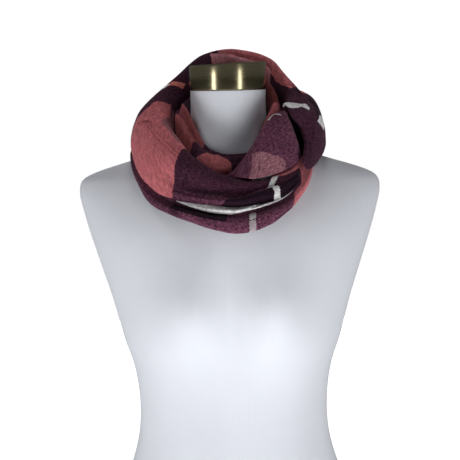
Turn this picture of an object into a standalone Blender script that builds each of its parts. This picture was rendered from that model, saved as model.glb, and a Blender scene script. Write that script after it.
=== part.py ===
import math

import bpy
import bmesh
from mathutils import Vector

MM = 0.001

# Cloth and seams
wall = 2.4
seam_gap = 0.3
rest_clearance = 0.7
hem_turn = 11.0
inner_depth = 34.0
outer_column_length = 12.0
inner_column_length = 11.5
middle_column_length = 9.5

# Dress form: heights above its flat base, half width, depth to the front and back, and
# how far the sides are set back behind the middle
form_rings = [
    {"height": 0.0, "half": 165.0, "front": 101.0, "back": 112.0, "power": 2.3, "set": 0.0},
    {"height": 6.0, "half": 168.5, "front": 104.0, "back": 115.0, "power": 2.3, "set": 0.0},
    {"height": 60.0, "half": 163.0, "front": 103.0, "back": 116.0, "power": 2.3, "set": 0.0},
    {"height": 110.0, "half": 142.0, "front": 97.0, "back": 103.0, "power": 2.3, "set": 0.0},
    {"height": 157.0, "half": 128.0, "front": 91.0, "back": 88.0, "power": 2.3, "set": 0.0},
    {"height": 195.0, "half": 125.0, "front": 89.0, "back": 81.0, "power": 2.3, "set": 0.0},
    {"height": 226.0, "half": 126.8, "front": 91.0, "back": 80.0, "power": 2.3, "set": 0.0},
    {"height": 260.0, "half": 133.5, "front": 97.0, "back": 83.0, "power": 2.3, "set": 0.0},
    {"height": 292.0, "half": 145.0, "front": 104.0, "back": 88.0, "power": 2.3, "set": 0.0},
    {"height": 331.0, "half": 154.5, "front": 109.0, "back": 93.0, "power": 2.3, "set": 2.0},
    {"height": 373.0, "half": 168.0, "front": 110.0, "back": 98.0, "power": 2.2, "set": 5.0},
    {"height": 427.0, "half": 186.0, "front": 105.0, "back": 100.0, "power": 2.1, "set": 10.0},
    {"height": 465.0, "half": 197.0, "front": 90.0, "back": 97.0, "power": 2.0, "set": 14.0},
    {"height": 490.0, "half": 201.0, "front": 74.0, "back": 91.0, "power": 1.9, "set": 16.0},
    {"height": 504.0, "half": 194.0, "front": 64.5, "back": 85.0, "power": 1.82, "set": 16.0},
    {"height": 513.5, "half": 172.5, "front": 59.0, "back": 79.0, "power": 1.8, "set": 14.0},
    {"height": 527.0, "half": 128.0, "front": 53.5, "back": 70.0, "power": 1.8, "set": 9.0},
    {"height": 540.0, "half": 92.0, "front": 51.0, "back": 62.0, "power": 1.9, "set": 4.0},
    {"height": 553.0, "half": 63.0, "front": 50.0, "back": 55.0, "power": 2.0, "set": 0.0},
    {"height": 568.0, "half": 51.5, "front": 49.5, "back": 50.5, "power": 2.0, "set": 0.0},
    {"height": 590.0, "half": 49.5, "front": 49.0, "back": 49.0, "power": 2.0, "set": 0.0},
    {"height": 618.0, "half": 50.0, "front": 50.0, "back": 50.0, "power": 2.0, "set": 0.0},
]
bust_height = 332.0
bust_spread = 62.0
bust_out = 21.0
bust_width = 44.0
bust_rise = 52.0

# Neck cap
cap_radius = 51.0
cap_low = 618.4
cap_high = 653.0
cap_edge = 1.6
cap_tilt = math.radians(2.6)

# Outer winding of the scarf. Each row is a section, at an angle from the front
# towards the wearer's left, round the back and on; each fold has radius and height,
# and its own angle where the cloth turns in on itself.
outer_folds = ("edge", "top", "face", "crease_ab", "fold_b", "crease_bc",
               "fold_c", "crease_cd", "fold_d", "foot")
outer_sections = [
    {"angle": 55.0, "inside": 5, "edge": (85, 594.5, 63), "top": (89.5, 594.5, 59),
     "face": (95, 582.5, 59.5), "crease_ab": (101, 570.5, 65), "fold_b": (105.5, 559, 65),
     "crease_bc": (108.5, 550, 64), "fold_c": (111, 541.5, 61), "crease_cd": (114, 533.5, 57.5),
     "fold_d": (117.5, 526, 55), "foot": (119.5, 520.5, 56.5), "hem": (115, 523, 58)},
    {"angle": 66.0, "inside": 6, "edge": (80.5, 597.5, 64.5), "top": (88.5, 600.5, 59.5),
     "face": (100, 585.5, 60), "crease_ab": (106.5, 571.5, 65.5), "fold_b": (111, 560, 65.5),
     "crease_bc": (114, 551, 64.5), "fold_c": (116.5, 542.5, 61), "crease_cd": (119.5, 534, 57),
     "fold_d": (123, 525, 54), "foot": (126, 516.5, 55.5), "hem": (122, 517, 57.5)},
    {"angle": 81.0, "inside": 14, "edge": (78, 600, 86), "top": (92, 606, 83),
     "face": (106, 600), "crease_ab": (113, 591), "fold_b": (120, 580),
     "crease_bc": (124, 568), "fold_c": (126, 556), "crease_cd": (126.5, 547, 80),
     "fold_d": (126.5, 539, 79), "foot": (124.5, 532, 78), "hem": (117.5, 534.5, 78.5)},
    {"angle": 100.0, "inside": 24, "edge": (77, 604), "top": (84, 618), "face": (96, 615),
     "crease_ab": (103, 607), "fold_b": (114, 604), "crease_bc": (122, 590),
     "fold_c": (126, 574), "crease_cd": (127, 559), "fold_d": (127, 546),
     "foot": (121, 536)},
    {"angle": 118.0, "edge": (75.5, 630), "top": (81, 641), "face": (91, 631),
     "crease_ab": (101, 618), "fold_b": (111, 613), "crease_bc": (118, 600),
     "fold_c": (121, 585), "crease_cd": (121, 570), "fold_d": (120, 556),
     "foot": (114, 542)},
    {"angle": 135.0, "edge": (75, 649), "top": (81, 657), "face": (94, 643),
     "crease_ab": (103, 628), "fold_b": (112, 616), "crease_bc": (115, 604),
     "fold_c": (116, 592), "crease_cd": (114, 578), "fold_d": (115, 565),
     "foot": (110, 549)},
    {"angle": 157.0, "edge": (74, 656), "top": (82, 667), "face": (97, 651),
     "crease_ab": (103, 634), "fold_b": (110, 618), "crease_bc": (108, 604),
     "fold_c": (110, 594), "crease_cd": (107.5, 583), "fold_d": (110, 571),
     "foot": (105, 554)},
    {"angle": 180.0, "edge": (73, 659), "top": (82, 671), "face": (97, 655),
     "crease_ab": (103, 637), "fold_b": (109, 620), "crease_bc": (106, 606),
     "fold_c": (108, 597), "crease_cd": (105, 586), "fold_d": (108, 574),
     "foot": (103, 557)},
    {"angle": 205.0, "edge": (73.5, 650), "top": (83, 663), "face": (98, 647),
     "crease_ab": (104, 630), "fold_b": (110, 614), "crease_bc": (107, 600),
     "fold_c": (109, 591), "crease_cd": (106, 581), "fold_d": (109, 570),
     "foot": (105, 553)},
    {"angle": 230.0, "edge": (75, 619), "top": (87, 636), "face": (102, 624),
     "crease_ab": (110, 608), "fold_b": (116, 594), "crease_bc": (114, 581),
     "fold_c": (116, 572), "crease_cd": (115, 564), "fold_d": (117, 556),
     "foot": (114, 543)},
    {"angle": 255.0, "edge": (75, 596), "top": (94, 614), "face": (113, 600),
     "crease_ab": (121, 585), "fold_b": (125, 571), "crease_bc": (126, 561),
     "fold_c": (126, 553), "crease_cd": (124.5, 547), "fold_d": (127, 541),
     "foot": (125, 533)},
    {"angle": 275.0, "edge": (74.5, 580), "top": (98, 601), "face": (117, 588),
     "crease_ab": (125.5, 572), "fold_b": (129, 558), "crease_bc": (129.5, 549),
     "fold_c": (129, 543.5), "crease_cd": (128, 539), "fold_d": (131, 534.5),
     "foot": (129.5, 528.5)},
    {"angle": 292.0, "edge": (79, 565), "top": (104, 585), "face": (121, 569),
     "crease_ab": (127.5, 551), "fold_b": (129.5, 536), "crease_bc": (129.5, 525),
     "fold_c": (128.5, 517), "crease_cd": (126.8, 512), "fold_d": (131, 507),
     "foot": (129, 500)},
    {"angle": 308.0, "edge": (83, 555.5), "top": (103, 568), "face": (119, 549),
     "crease_ab": (124.5, 528), "fold_b": (127, 514), "crease_bc": (127.5, 503.5),
     "fold_c": (126, 496.5), "crease_cd": (123, 490.3), "fold_d": (130.5, 483.5),
     "foot": (129, 475)},
    {"angle": 322.0, "edge": (88, 541), "top": (98.5, 546), "face": (114, 530),
     "crease_ab": (119, 502), "fold_b": (122.5, 492.5), "crease_bc": (122, 484.5),
     "fold_c": (122, 479.5), "crease_cd": (119.5, 475.5), "fold_d": (129.5, 472),
     "foot": (129, 464)},
    {"angle": 338.0, "edge": (91, 521), "top": (97, 527), "face": (109, 515),
     "crease_ab": (110.5, 492.5), "fold_b": (119.5, 485), "crease_bc": (118, 476.5),
     "fold_c": (121.8, 472), "crease_cd": (117, 467), "fold_d": (131, 463),
     "foot": (129.5, 453.5)},
    {"angle": 352.0, "edge": (93, 507), "top": (97.5, 513.5), "face": (107, 506),
     "crease_ab": (109.5, 488.5), "fold_b": (120, 481.5), "crease_bc": (116.5, 473),
     "fold_c": (122.5, 468), "crease_cd": (117, 462.5), "fold_d": (131, 456),
     "foot": (129.5, 443.5)},
    {"angle": 365.0, "edge": (94, 499), "top": (98.5, 505.5), "face": (107, 500.5),
     "crease_ab": (109.5, 486), "fold_b": (120.5, 479.5), "crease_bc": (116, 471.5),
     "fold_c": (123, 467), "crease_cd": (117, 461), "fold_d": (131, 453),
     "foot": (129.5, 439.5)},
    {"angle": 380.0, "edge": (93.5, 496), "top": (97.5, 502.5), "face": (106, 502),
     "crease_ab": (111.5, 493), "fold_b": (120.5, 486.5), "crease_bc": (117, 477),
     "fold_c": (122, 472.5), "crease_cd": (118, 467.5), "fold_d": (130, 461),
     "foot": (128.5, 446)},
    {"angle": 395.0, "inside": 20, "edge": (93.5, 501.5), "top": (98, 508),
     "face": (106, 508), "crease_ab": (111.5, 501.5), "fold_b": (119.5, 494.5),
     "crease_bc": (117.5, 485.5), "fold_c": (120.5, 481), "crease_cd": (119.5, 477),
     "fold_d": (128, 472.5), "foot": (127, 463.5)},
    {"angle": 408.0, "inside": 9, "edge": (93.5, 510.5), "top": (98.5, 516),
     "face": (106, 515.5), "crease_ab": (111.5, 511), "fold_b": (116.5, 506),
     "crease_bc": (118, 500.5), "fold_c": (120.5, 497.5), "crease_cd": (122.5, 495),
     "fold_d": (126.5, 492), "foot": (126, 485), "hem": (119.5, 486.5)},
    {"angle": 420.0, "inside": 6, "edge": (93.5, 524), "top": (98, 528),
     "face": (104, 526), "crease_ab": (108, 522.5), "fold_b": (111.5, 519.5),
     "crease_bc": (114.5, 517), "fold_c": (117, 515), "crease_cd": (119.5, 513),
     "fold_d": (121.5, 510.5), "foot": (122, 505.5), "hem": (117, 506.5)},
    {"angle": 432.0, "inside": 6, "edge": (87.5, 542.5), "top": (91.5, 546),
     "face": (96.5, 545), "crease_ab": (100, 542.5), "fold_b": (103, 540),
     "crease_bc": (106, 537.5), "fold_c": (108.5, 535.5), "crease_cd": (110.5, 533.5),
     "fold_d": (112.5, 531), "foot": (112.5, 526), "hem": (108, 527)},
    {"angle": 444.0, "inside": 6, "edge": (80, 554), "top": (84, 558), "face": (89.5, 557),
     "crease_ab": (93.5, 554), "fold_b": (97.5, 551), "crease_bc": (100.5, 548.5),
     "fold_c": (103, 546.5), "crease_cd": (105.5, 544.5), "fold_d": (108, 542),
     "foot": (108, 537), "hem": (104, 538)},
]
outer_across = {"inside": 2, "wall": 2, "edge": 2, "top": 4, "face": 4, "crease_ab": 2,
                "fold_b": 2, "crease_bc": 2, "fold_c": 2, "crease_cd": 2, "fold_d": 3,
                "foot": 2}

# Middle stretch: rises out of the front and crosses over the outer winding
middle_folds = ("inside", "wall", "rim", "face_high", "face_low", "hem")
middle_sections = [
    {"angle": -12.0, "inside": (78.5, 488), "wall": (79.5, 494.5), "rim": (82.5, 500.5),
     "face_high": (85.5, 500.5), "face_low": (87.5, 497), "hem": (87.5, 491.5)},
    {"angle": 0.0, "inside": (80.5, 490), "wall": (81.5, 500), "rim": (85, 511),
     "face_high": (88.5, 511), "face_low": (90, 508.5), "hem": (90, 505)},
    {"angle": 8.0, "inside": (81, 494), "wall": (81.5, 507), "rim": (86.5, 522.5),
     "face_high": (92.5, 519.5), "face_low": (97, 515), "hem": (100.5, 509)},
    {"angle": 18.0, "inside": (79.5, 501), "wall": (79, 520), "rim": (84.5, 541),
     "face_high": (92.5, 534), "face_low": (100, 520), "hem": (104, 506.5)},
    {"angle": 30.0, "inside": (77.5, 513), "wall": (76.5, 537), "rim": (82, 563),
     "face_high": (92, 554), "face_low": (102.5, 531), "hem": (106.5, 510.5)},
    {"angle": 41.0, "inside": (76, 531), "wall": (75.5, 554), "rim": (80.5, 581),
     "face_high": (91, 572), "face_low": (104, 543), "hem": (108.5, 515.5)},
    {"angle": 51.0, "inside": (75.5, 545), "wall": (76, 566), "rim": (83, 589),
     "face_high": (93, 580), "face_low": (105.5, 551), "hem": (109.5, 523)},
    {"angle": 59.0, "inside": (76, 555), "wall": (79, 572), "rim": (86, 589.5),
     "face_high": (92.5, 578), "face_low": (102.5, 553), "hem": (108, 530.5)},
    {"angle": 68.0, "inside": (75.5, 561), "wall": (77.5, 570.5), "rim": (81.5, 579),
     "face_high": (85.5, 571.5), "face_low": (91.5, 557.5), "hem": (97, 547)},
]
middle_across = {"inside": 3, "wall": 4, "rim": 4, "face_high": 4, "face_low": 4}

# Inner winding: lies against the neck from behind the middle stretch, round the back
# and the wearer's right, to the front
inner_folds = ("low", "ridge_one", "valley", "ridge_two", "outside", "tail")
inner_sections = [
    {"angle": 34.0, "low": (55, 537), "ridge_one": (57.5, 546), "valley": (61.5, 549),
     "ridge_two": (65.5, 546), "outside": (68, 534), "tail": (69, 523)},
    {"angle": 50.0, "low": (54.5, 556), "ridge_one": (57.5, 568.5), "valley": (61.5, 571),
     "ridge_two": (65.5, 568), "outside": (68, 553), "tail": (69, 540)},
    {"angle": 66.0, "low": (54, 572), "ridge_one": (57.5, 585), "valley": (61.5, 588),
     "ridge_two": (65.5, 585), "outside": (68, 568), "tail": (69, 556)},
    {"angle": 88.0, "low": (54, 583), "ridge_one": (57.5, 599), "valley": (61.5, 602),
     "ridge_two": (65.5, 599), "outside": (68, 581), "tail": (68.5, 564)},
    {"angle": 115.0, "low": (54, 600), "ridge_one": (57.5, 620), "valley": (61.5, 623),
     "ridge_two": (65.5, 620), "outside": (67.5, 600), "tail": (68, 578)},
    {"angle": 145.0, "low": (54.5, 616), "ridge_one": (57.5, 639), "valley": (61.5, 642),
     "ridge_two": (65.5, 639), "outside": (67, 614), "tail": (67.5, 588)},
    {"angle": 180.0, "low": (54.5, 622), "ridge_one": (57.5, 648), "valley": (61.5, 651),
     "ridge_two": (65.5, 648), "outside": (67, 622), "tail": (67.5, 592)},
    {"angle": 215.0, "low": (54, 604), "ridge_one": (57.5, 624), "valley": (61.5, 627),
     "ridge_two": (65.5, 622), "outside": (67.5, 602), "tail": (68, 580)},
    {"angle": 245.0, "low": (54, 588), "ridge_one": (59, 605), "valley": (63, 600),
     "ridge_two": (67, 598), "outside": (69, 582), "tail": (69, 565)},
    {"angle": 272.0, "low": (54, 580), "ridge_one": (60, 600), "valley": (64.5, 588),
     "ridge_two": (68.5, 589), "outside": (69.5, 571), "tail": (69, 555)},
    {"angle": 295.0, "low": (54, 570), "ridge_one": (60.5, 594), "valley": (65.5, 579),
     "ridge_two": (71, 582), "outside": (74, 560), "tail": (74, 547)},
    {"angle": 315.0, "low": (54, 549), "ridge_one": (60, 567), "valley": (65, 556),
     "ridge_two": (71, 560), "outside": (78, 545), "tail": (80, 532)},
    {"angle": 332.0, "low": (55.5, 536), "ridge_one": (60, 545.5), "valley": (65, 541),
     "ridge_two": (71, 541), "outside": (79, 530), "tail": (81.5, 516)},
    {"angle": 350.0, "low": (57.5, 532), "ridge_one": (61, 537), "valley": (65.5, 533.5),
     "ridge_two": (70, 531), "outside": (75.5, 519), "tail": (76.5, 508)},
    {"angle": 366.0, "low": (57.5, 530), "ridge_one": (61, 535.5), "valley": (65, 532),
     "ridge_two": (69, 528.5), "outside": (74, 517), "tail": (75.5, 507)},
    {"angle": 379.0, "low": (57.5, 531), "ridge_one": (60.5, 536), "valley": (64, 534),
     "ridge_two": (67.5, 530.5), "outside": (71.5, 520), "tail": (73, 510)},
    {"angle": 389.0, "low": (57, 533), "ridge_one": (60, 538), "valley": (63.5, 536),
     "ridge_two": (66.5, 533), "outside": (69.5, 523), "tail": (71, 514)},
]
inner_across = {"low": 3, "ridge_one": 3, "valley": 3, "ridge_two": 3, "outside": 2}

# Split between the two solids of the outer winding, at the centre of the back
back_angle = 180.0


def start_clean():
    for obj in list(bpy.data.objects):
        bpy.data.objects.remove(obj, do_unlink=True)
    for mesh in list(bpy.data.meshes):
        bpy.data.meshes.remove(mesh)


def make_material(name, colour, roughness, metallic=0.0):
    material = bpy.data.materials.new(name)
    material.use_nodes = True
    shader = material.node_tree.nodes["Principled BSDF"]
    shader.inputs["Base Color"].default_value = (*colour, 1.0)
    shader.inputs["Roughness"].default_value = roughness
    shader.inputs["Metallic"].default_value = metallic
    return material


def slopes(places, values):
    """Slope of a smooth curve at each place, limited where the values turn."""
    last = len(places) - 1
    result = []
    for k in range(len(places)):
        before = (values[k] - values[k - 1]) / (places[k] - places[k - 1]) if k > 0 else None
        after = (values[k + 1] - values[k]) / (places[k + 1] - places[k]) if k < last else None
        if before is None:
            result.append(after)
        elif after is None:
            result.append(before)
        else:
            left = places[k] - places[k - 1]
            right = places[k + 1] - places[k]
            result.append((before * right + after * left) / (left + right))
    return result


def curve_value(places, values, tangents, place):
    """Value of the cubic through the listed places."""
    k = 0
    while k < len(places) - 2 and place > places[k + 1]:
        k += 1
    span = places[k + 1] - places[k]
    t = (place - places[k]) / span
    a = values[k] * (2 * t ** 3 - 3 * t ** 2 + 1)
    b = tangents[k] * span * (t ** 3 - 2 * t ** 2 + t)
    c = values[k + 1] * (3 * t ** 2 - 2 * t ** 3)
    d = tangents[k + 1] * span * (t ** 3 - t ** 2)
    return a + b + c + d


class Table:
    """Smooth curves through the columns of a table, by its first column."""

    def __init__(self, places, columns):
        self.places = places
        self.columns = columns
        self.tangents = [slopes(places, column) for column in columns]

    def at(self, place):
        return [curve_value(self.places, column, tangent, place)
                for column, tangent in zip(self.columns, self.tangents)]


form_keys = ("half", "front", "back", "power", "set")
form_table = Table([ring["height"] for ring in form_rings],
                   [[ring[key] for ring in form_rings] for key in form_keys])


def bust_at(x, height, front):
    """How far the front stands forward of the plain ring."""
    if not front:
        return 0.0
    rise = math.exp(-((height - bust_height) / bust_rise) ** 2)
    side = math.exp(-((abs(x) - bust_spread) / bust_width) ** 2)
    return bust_out * rise * side


def form_level(x, y, height):
    """Below one inside the dress form and above one outside, in millimetres."""
    half, front, back, power, set_back = form_table.at(min(max(height, 0.0), 618.0))
    y -= set_back * min(1.0, (x / half) ** 2)
    depth = front + bust_at(x, height, True) if y < 0 else back
    return ((abs(x) / half) ** power + (abs(y) / depth) ** power) ** (1.0 / power)


def push_clear(point, clearance):
    """Moves a point of the cloth off the dress form to rest at a set clearance."""
    x, y, z = point
    for _ in range(6):
        level = form_level(x, y, z)
        step = 0.5
        gx = (form_level(x + step, y, z) - form_level(x - step, y, z)) / (2 * step)
        gy = (form_level(x, y + step, z) - form_level(x, y - step, z)) / (2 * step)
        gz = (form_level(x, y, z + step) - form_level(x, y, z - step)) / (2 * step)
        size = math.sqrt(gx * gx + gy * gy + gz * gz)
        if size < 1e-6:
            break
        distance = (level - 1.0) / size
        if distance >= clearance or distance < -40.0:
            break
        move = min(clearance - distance, 6.0)
        x += gx / size * move
        y += gy / size * move
        z += gz / size * move
    return Vector((x, y, z))


def polar(radius, height, angle):
    turn = math.radians(angle)
    return Vector((radius * math.sin(turn), -radius * math.cos(turn), height))


def section_points(lines, across):
    """Points along the smooth curve through one section's folds, in order."""
    gaps = [max((b - a).length, 0.5) ** 0.6 for a, b in zip(lines, lines[1:])]
    places = [0.0]
    for gap in gaps:
        places.append(places[-1] + gap)
    coordinates = [[line[k] for line in lines] for k in range(3)]
    tangents = [slopes(places, values) for values in coordinates]
    points = []
    for k, count in enumerate(across):
        for step in range(count):
            place = places[k] + (places[k + 1] - places[k]) * step / count
            points.append(Vector([curve_value(places, values, tangent, place)
                                  for values, tangent in zip(coordinates, tangents)]))
    points.append(lines[-1].copy())
    return points


def with_hems(row):
    """The outer winding's turned-in inside and hem, worked out from its own folds."""
    edge = row["edge"]
    foot = row["foot"]
    inside_depth = row.get("inside", inner_depth)
    share = inside_depth / inner_depth
    complete = dict(row)
    complete["wall"] = (edge[0] - 2.0 * share, edge[1] - 0.45 * inside_depth) + tuple(edge[2:])
    complete["inside"] = (edge[0] + share, edge[1] - inside_depth) + tuple(edge[2:])
    if "hem" not in row:
        complete["hem"] = (foot[0] - hem_turn, foot[1] + 0.30 * hem_turn) + tuple(foot[2:])
    return complete


def sheet_grid(sections, folds, across, column_length, start, end):
    """Grid of middle-surface points of one stretch between two row places."""
    places = list(range(len(sections)))
    table = {}
    for fold in folds:
        radius = [row[fold][0] for row in sections]
        height = [row[fold][1] for row in sections]
        angle = [row[fold][2] if len(row[fold]) > 2 else row["angle"] for row in sections]
        table[fold] = Table(places, [radius, height, angle])
    middle = folds[len(folds) // 2]
    count = 0.0
    probe = None
    for k in range(61):
        spot = polar(*table[middle].at(start + (end - start) * k / 60.0))
        if probe is not None:
            count += (spot - probe).length
        probe = spot
    columns = max(8, round(count / column_length))
    counts = [across[fold] for fold in folds[:-1]]
    grid = []
    for k in range(columns + 1):
        place = start + (end - start) * k / columns
        lines = [polar(*table[fold].at(place)) for fold in folds]
        grid.append([push_clear(point, wall / 2 + rest_clearance)
                     for point in section_points(lines, counts)])
    return grid


def place_of_angle(sections, angle):
    """Row place at which a stretch reaches an angle, where its rows run in order."""
    for k in range(3, len(sections) - 1):
        low = sections[k]["angle"]
        high = sections[k + 1]["angle"]
        if low <= angle <= high:
            return k + (angle - low) / (high - low)
    return float(len(sections) - 1)


def grid_normals(grid):
    """Unit normal of the middle surface at every point of a grid."""
    rows = len(grid)
    cols = len(grid[0])
    normals = []
    for i in range(rows):
        line = []
        for j in range(cols):
            along = grid[min(i + 1, rows - 1)][j] - grid[max(i - 1, 0)][j]
            across = grid[i][min(j + 1, cols - 1)] - grid[i][max(j - 1, 0)]
            line.append(across.cross(along).normalized())
        normals.append(line)
    return normals


def add_solid(name, bm, material):
    bmesh.ops.recalc_face_normals(bm, faces=bm.faces)
    mesh = bpy.data.meshes.new(name)
    bm.to_mesh(mesh)
    bm.free()
    mesh.materials.append(material)
    for polygon in mesh.polygons:
        polygon.use_smooth = True
    obj = bpy.data.objects.new(name, mesh)
    bpy.context.scene.collection.objects.link(obj)
    return obj


def cloth_solid(name, grid, material, flat_start=False, flat_end=False):
    """Closed wall of even thickness on a grid, with rounded hems."""
    normals = grid_normals(grid)
    half = wall / 2
    rows = len(grid)
    cols = len(grid[0])
    bm = bmesh.new()
    outer = [[bm.verts.new((grid[i][j] + normals[i][j] * half) * MM) for j in range(cols)]
             for i in range(rows)]
    inner = [[bm.verts.new((grid[i][j] - normals[i][j] * half) * MM) for j in range(cols)]
             for i in range(rows)]
    for i in range(rows - 1):
        for j in range(cols - 1):
            bm.faces.new((outer[i][j], outer[i + 1][j], outer[i + 1][j + 1], outer[i][j + 1]))
            bm.faces.new((inner[i][j], inner[i][j + 1], inner[i + 1][j + 1], inner[i + 1][j]))
    border = [(i, 0) for i in range(rows)]
    border += [(rows - 1, j) for j in range(1, cols)]
    border += [(i, cols - 1) for i in range(rows - 2, -1, -1)]
    border += [(0, j) for j in range(cols - 2, 0, -1)]
    rim = []
    for i, j in border:
        away = Vector((0.0, 0.0, 0.0))
        if j == 0:
            away += (grid[i][0] - grid[i][1]).normalized()
        if j == cols - 1:
            away += (grid[i][-1] - grid[i][-2]).normalized()
        if i == 0 and not flat_start:
            away += (grid[0][j] - grid[1][j]).normalized()
        if i == rows - 1 and not flat_end:
            away += (grid[-1][j] - grid[-2][j]).normalized()
        rim.append(bm.verts.new((grid[i][j] + away * half * 0.9) * MM))
    total = len(border)
    for k in range(total):
        i, j = border[k]
        m, n = border[(k + 1) % total]
        bm.faces.new((outer[i][j], outer[m][n], rim[(k + 1) % total], rim[k]))
        bm.faces.new((rim[k], rim[(k + 1) % total], inner[m][n], inner[i][j]))
    return add_solid(name, bm, material)


def loop_solid(name, rings, material):
    """Closed solid through rings of points, capped flat at both ends."""
    bm = bmesh.new()
    loops = [[bm.verts.new(point * MM) for point in ring] for ring in rings]
    for low, high in zip(loops, loops[1:]):
        for k in range(len(low)):
            after = (k + 1) % len(low)
            bm.faces.new((low[k], low[after], high[after], high[k]))
    bm.faces.new(list(reversed(loops[0])))
    bm.faces.new(loops[-1])
    bmesh.ops.triangulate(bm, faces=[face for face in bm.faces if len(face.verts) > 4])
    return add_solid(name, bm, material)


def form_ring(height, count):
    half, front, back, power, set_back = form_table.at(height)
    ring = []
    for k in range(count):
        turn = 2 * math.pi * k / count
        side = math.sin(turn)
        ahead = -math.cos(turn)
        x = half * math.copysign(abs(side) ** (2.0 / power), side)
        depth = front if ahead < 0 else back
        y = depth * math.copysign(abs(ahead) ** (2.0 / power), ahead)
        y -= bust_at(x, height, ahead < 0) * abs(ahead) ** 0.8
        y += set_back * (x / half) ** 2
        ring.append(Vector((x, y, height)))
    return ring


def cap_ring(radius, height, count):
    """Ring of the neck cap, tipped a little to one side."""
    ring = []
    for k in range(count):
        turn = 2 * math.pi * k / count
        x = radius * math.sin(turn)
        rise = 0.0 if height <= cap_low + cap_edge + 0.1 else math.tan(cap_tilt) * x
        ring.append(Vector((x, -radius * math.cos(turn), height + rise)))
    return ring


start_clean()

jersey = make_material("white jersey", (0.78, 0.79, 0.83), 0.75)
brass = make_material("brass", (0.60, 0.50, 0.26), 0.22, 1.0)
plum_front = make_material("plum and rose wool front", (0.30, 0.09, 0.13), 0.9)
plum_right = make_material("plum and rose wool side", (0.16, 0.05, 0.12), 0.9)
plum_middle = make_material("plum and rose wool middle", (0.20, 0.07, 0.14), 0.9)
plum_inner = make_material("plum and rose wool inner", (0.26, 0.08, 0.11), 0.9)

# Dress form: one smooth solid from its flat base to the top of the neck
form_count = 46
heights = [0.0, 6.0, 30.0, 60.0, 85.0, 110.0, 134.0, 157.0, 176.0, 195.0, 211.0,
           226.0, 243.0, 260.0, 276.0, 292.0, 311.0, 331.0, 352.0, 373.0, 400.0, 427.0,
           447.0, 465.0, 479.0, 490.0, 498.0, 504.0, 509.0, 513.5, 520.0, 527.0, 533.5,
           540.0, 546.5, 553.0, 560.0, 568.0, 590.0, 618.0]
loop_solid("form_torso", [form_ring(height, form_count) for height in heights], jersey)

# Neck cap: polished metal band closing the top of the neck
cap_rings = [
    cap_ring(cap_radius - cap_edge, cap_low, 64),
    cap_ring(cap_radius, cap_low + cap_edge, 64),
    cap_ring(cap_radius, cap_high - cap_edge, 64),
    cap_ring(cap_radius - cap_edge, cap_high, 64),
]
loop_solid("neck_cap", cap_rings, brass)

# Scarf: two solids of the outer winding, then the middle and inner stretches
outer_rows = [with_hems(row) for row in outer_sections]
outer_names = ("inside", "wall") + outer_folds + ("hem",)
split = place_of_angle(outer_sections, back_angle)
half_seam = math.degrees(seam_gap / 2 / 72.0) / 25.0
right_grid = sheet_grid(outer_rows, outer_names, outer_across, outer_column_length,
                        0.0, split - half_seam)
front_grid = sheet_grid(outer_rows, outer_names, outer_across, outer_column_length,
                        split + half_seam, float(len(outer_rows) - 1))
cloth_solid("scarf_right_fold", right_grid, plum_right, flat_end=True)
cloth_solid("scarf_outer_turn", front_grid, plum_front, flat_start=True)
middle_grid = sheet_grid(middle_sections, middle_folds, middle_across, middle_column_length,
                         0.0, float(len(middle_sections) - 1))
cloth_solid("scarf_middle", middle_grid, plum_middle)
inner_grid = sheet_grid(inner_sections, inner_folds, inner_across, inner_column_length,
                        0.0, float(len(inner_sections) - 1))
cloth_solid("scarf_inner_turn", inner_grid, plum_inner)
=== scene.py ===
import math

import bpy
import numpy as np
from mathutils import Matrix, Vector
from mathutils.bvhtree import BVHTree


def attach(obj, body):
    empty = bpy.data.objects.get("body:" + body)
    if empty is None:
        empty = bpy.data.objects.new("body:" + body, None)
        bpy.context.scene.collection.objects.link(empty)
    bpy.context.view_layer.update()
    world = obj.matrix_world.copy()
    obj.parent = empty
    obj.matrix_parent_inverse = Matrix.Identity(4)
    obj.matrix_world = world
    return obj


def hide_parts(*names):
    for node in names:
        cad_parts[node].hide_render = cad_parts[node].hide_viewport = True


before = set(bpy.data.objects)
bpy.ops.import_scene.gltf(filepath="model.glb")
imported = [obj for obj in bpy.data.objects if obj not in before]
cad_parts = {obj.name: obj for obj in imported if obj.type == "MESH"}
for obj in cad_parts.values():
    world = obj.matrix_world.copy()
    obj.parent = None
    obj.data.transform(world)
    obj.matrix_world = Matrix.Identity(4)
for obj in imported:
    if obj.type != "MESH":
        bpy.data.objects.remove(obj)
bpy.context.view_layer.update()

# Dress form
# A limbless torso, moulded in one smooth shell and cut off flat under the hips so that it
# stands on a table. A sleeve of fine white stretch jersey is pulled down over it, with
# its ribs running up and down the body.
mm = 0.001
base_rim = 0.5 * mm
neck_rim = 617.5 * mm
sharp_angle = math.radians(50)
body_girth = 0.92
rib_spacing = 3.7 * mm
jersey_white = (0.80, 0.82, 0.875)
jersey_shadow = (0.70, 0.725, 0.79)


def select_nothing():
    """Takes every object out of the selection."""
    for thing in bpy.context.selected_objects:
        thing.select_set(False)


select_nothing()
dress_form = bpy.data.objects.new("dress_form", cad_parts["form_torso"].data.copy())
bpy.context.scene.collection.objects.link(dress_form)
bpy.context.view_layer.objects.active = dress_form
dress_form.select_set(True)
bpy.ops.object.mode_set(mode="EDIT")
bpy.ops.mesh.select_all(action="SELECT")
bpy.ops.mesh.customdata_custom_splitnormals_clear()
bpy.ops.mesh.remove_doubles(threshold=0.02 * mm)
bpy.ops.mesh.tris_convert_to_quads(face_threshold=sharp_angle, shape_threshold=sharp_angle)
bpy.ops.mesh.select_all(action="DESELECT")
bpy.ops.object.mode_set(mode="OBJECT")
rim_crease = dress_form.data.attributes.new("crease_edge", "FLOAT", "EDGE")
for edge in dress_form.data.edges:
    heights = [dress_form.data.vertices[k].co.z for k in edge.vertices]
    at_end = max(heights) < base_rim or min(heights) > neck_rim
    rim_crease.data[edge.index].value = 1.0 if at_end else 0.0
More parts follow.
